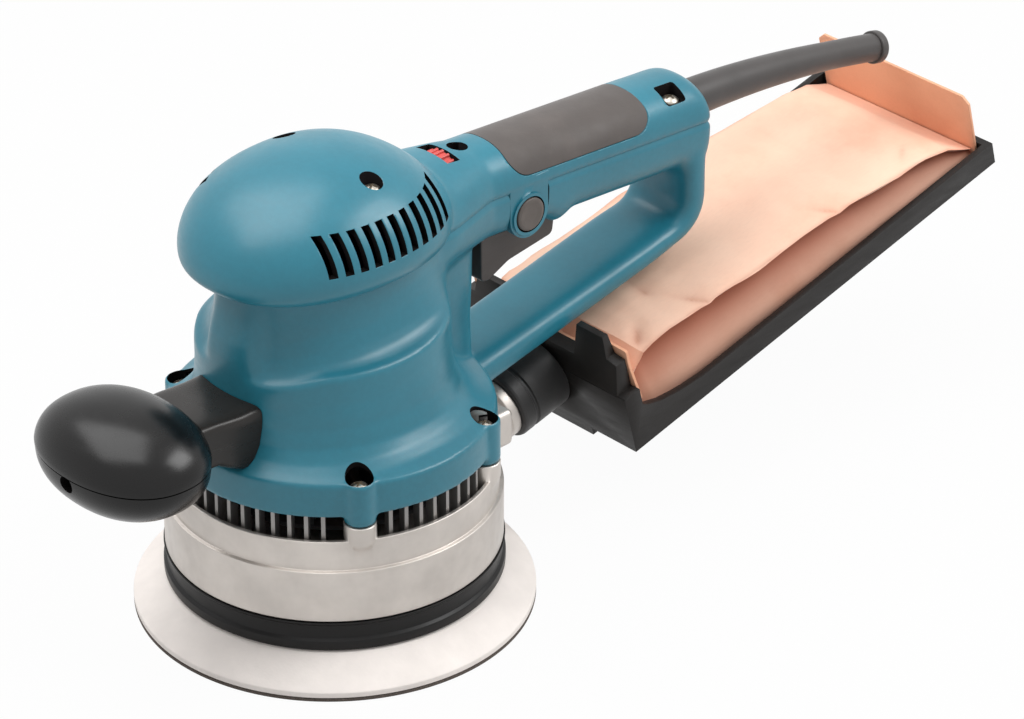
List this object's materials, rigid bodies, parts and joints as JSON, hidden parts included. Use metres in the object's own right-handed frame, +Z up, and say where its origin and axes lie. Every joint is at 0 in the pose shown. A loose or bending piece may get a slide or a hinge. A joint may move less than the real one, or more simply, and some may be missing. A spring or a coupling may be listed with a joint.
{
  "type": "random orbital sander",
  "caption": "Random-orbit sander with a round pad, domed palm grip, loop handle with trigger, ball-shaped front grip and a pull-off dust holder with a paper bag.",
  "frame": {"origin": "on the motor axis, in the plane of the abrasive face that meets the work", "axes": "+Z up along the motor axis, +Y back along the handle and the dust holder, -Y forward to the front grip, +X to the side with the lock button"},
  "size_m": [0.15, 0.4362, 0.1855],
  "materials": {
    "teal_plastic": "satin moulded",
    "grip_rubber": "fine matt",
    "knob_plastic": "polished",
    "arm_plastic": "satin",
    "trigger_plastic": "satin",
    "button_plastic": "matt",
    "dial_plastic": "satin, ribbed rim",
    "guard_rubber": "matt",
    "ring_plastic": "satin",
    "holder_plastic": "satin",
    "sleeve_rubber": "matt",
    "switch_plastic": "matt",
    "cast_aluminium": "die-cast with turned band",
    "steel": "ground",
    "screw_steel": "plated",
    "core_steel": "varnished laminations",
    "copper": "varnished copper wire and bars",
    "brass": "plain",
    "carbon": "pressed carbon",
    "pad_foam": "soft moulded foam",
    "abrasive": "coated grit",
    "bag_card": "plain card",
    "bag_paper": "folded paper"
  },
  "bodies": {
    "body": {"motor_housing": "teal_plastic", "top_cover": "teal_plastic", "grip_overmould": "grip_rubber", "fan_housing": "cast_aluminium", "skirt_ring": "ring_plastic", "base_screw_front_left": "screw_steel", "base_screw_front_right": "screw_steel", "base_screw_rear_left": "screw_steel", "base_screw_rear_right": "screw_steel", "dome_screw_left": "screw_steel", "dome_screw_right": "screw_steel", "handle_screw_front": "screw_steel", "handle_screw_rear": "screw_steel", "knob_arm": "arm_plastic", "front_knob": "knob_plastic", "knob_bolt": "steel", "cord_guard": "guard_rubber", "cord_clamp": "switch_plastic", "lower_bearing": "steel", "upper_bearing": "steel", "stator_core": "core_steel", "carbon_brush_left": "carbon", "carbon_brush_right": "carbon", "brush_holder_left": "brass", "brush_holder_right": "brass", "switch": "switch_plastic", "speed_controller": "switch_plastic"},
    "rotor": {"motor_shaft": "steel", "rotor_core": "core_steel", "rotor_winding_lower": "copper", "rotor_winding_upper": "copper", "commutator": "copper", "cooling_fan": "switch_plastic", "dust_fan": "cast_aluminium", "eccentric_hub": "steel", "pad_bearing": "steel"},
    "pad": {"pad_spindle": "steel", "backing_pad": "pad_foam", "abrasive_disc": "abrasive", "pad_bolt": "steel"},
    "trigger": {"trigger": "trigger_plastic"},
    "lock_button": {"lock_button": "button_plastic"},
    "speed_dial": {"speed_dial": "dial_plastic"},
    "dust_holder": {"dust_tray": "holder_plastic", "dust_sleeve": "sleeve_rubber", "bag_front_card": "bag_card", "bag_end_flap": "bag_card", "paper_bag": "bag_paper"}
  },
  "joints": [
    {"name": "rotor_spin", "type": "hinge", "parent": "body", "child": "rotor", "pos_m": [0, 0, 0.09], "axis": [0, 0, 1], "continuous": true},
    {"name": "pad_spin", "type": "hinge", "parent": "rotor", "child": "pad", "pos_m": [0.00194, -0.00194, 0], "axis": [0, 0, 1], "continuous": true},
    {"name": "trigger_squeeze", "type": "hinge", "parent": "body", "child": "trigger", "pos_m": [0, 0.0985, 0.1278], "axis": [-1, 0, 0], "range_deg": [0, 6], "stiffness_Nm_per_rad": 0.5, "springref_deg": -5.73},
    {"name": "lock_button_press", "type": "slide", "parent": "body", "child": "lock_button", "axis": [-1, 0, 0], "range_m": [0, 0.002], "stiffness_N_per_m": 400, "springref_m": -0.002},
    {"name": "speed_dial_turn", "type": "hinge", "parent": "body", "child": "speed_dial", "pos_m": [0, 0.054, 0.1532], "axis": [0, 1, 0], "range_deg": [-140, 140]},
    {"name": "dust_holder_pull_off", "type": "slide", "parent": "body", "child": "dust_holder", "axis": [0, 0.9699, 0.2436], "range_m": [0, 0.03]}
  ]
}
